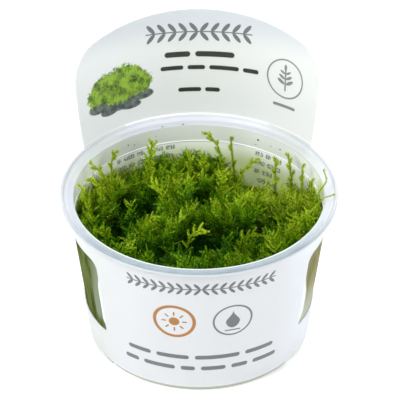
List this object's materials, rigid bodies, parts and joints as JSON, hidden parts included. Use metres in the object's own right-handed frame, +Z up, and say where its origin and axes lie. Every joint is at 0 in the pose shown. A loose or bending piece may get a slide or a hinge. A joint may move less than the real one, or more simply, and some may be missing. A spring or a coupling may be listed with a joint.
{
  "type": "potted christmas moss",
  "caption": "Translucent plastic cup packed with bright green branching aquarium moss, in a printed sleeve that rises behind the rim as a header card.",
  "frame": {"origin": "centre of the cup's flat base, where it rests", "axes": "+Z up, +Y to the back where the header stands, +X to the right seen from the front of the sleeve"},
  "size_m": [0.1, 0.1058, 0.1023],
  "materials": {
    "cup_plastic": "milky translucent polypropylene, smooth and slightly glossy",
    "sleeve_film": "white printed plastic sheet, satin, with grey, orange and green print",
    "moss_cushion": "dense tangle of small wet leaves, mid green over dark hollows",
    "moss_shoot": "small overlapping leaves, bright yellow-green towards the tips"
  },
  "bodies": {
    "root": {"cup": "cup_plastic", "label_sleeve": "sleeve_film", "moss_cushion": "moss_cushion", "shoot_back_arching": "moss_shoot", "shoot_back_upright": "moss_shoot", "shoot_back_broad": "moss_shoot", "shoot_back_short_left": "moss_shoot", "shoot_back_short_right": "moss_shoot", "shoot_back_leaning": "moss_shoot", "shoot_left_slender": "moss_shoot", "shoot_left_reaching": "moss_shoot", "shoot_left_low": "moss_shoot", "shoot_left_edge": "moss_shoot", "shoot_right_back": "moss_shoot", "shoot_right_forked": "moss_shoot", "shoot_right_upright": "moss_shoot", "shoot_right_short": "moss_shoot", "shoot_right_curling": "moss_shoot", "shoot_right_over_rim": "moss_shoot", "shoot_middle_back": "moss_shoot", "shoot_middle_left": "moss_shoot", "shoot_middle_right": "moss_shoot", "shoot_front_left": "moss_shoot", "shoot_front_middle": "moss_shoot", "shoot_front_right": "moss_shoot", "shoot_front_right_edge": "moss_shoot", "shoot_front_left_edge": "moss_shoot"}
  },
  "joints": []
}
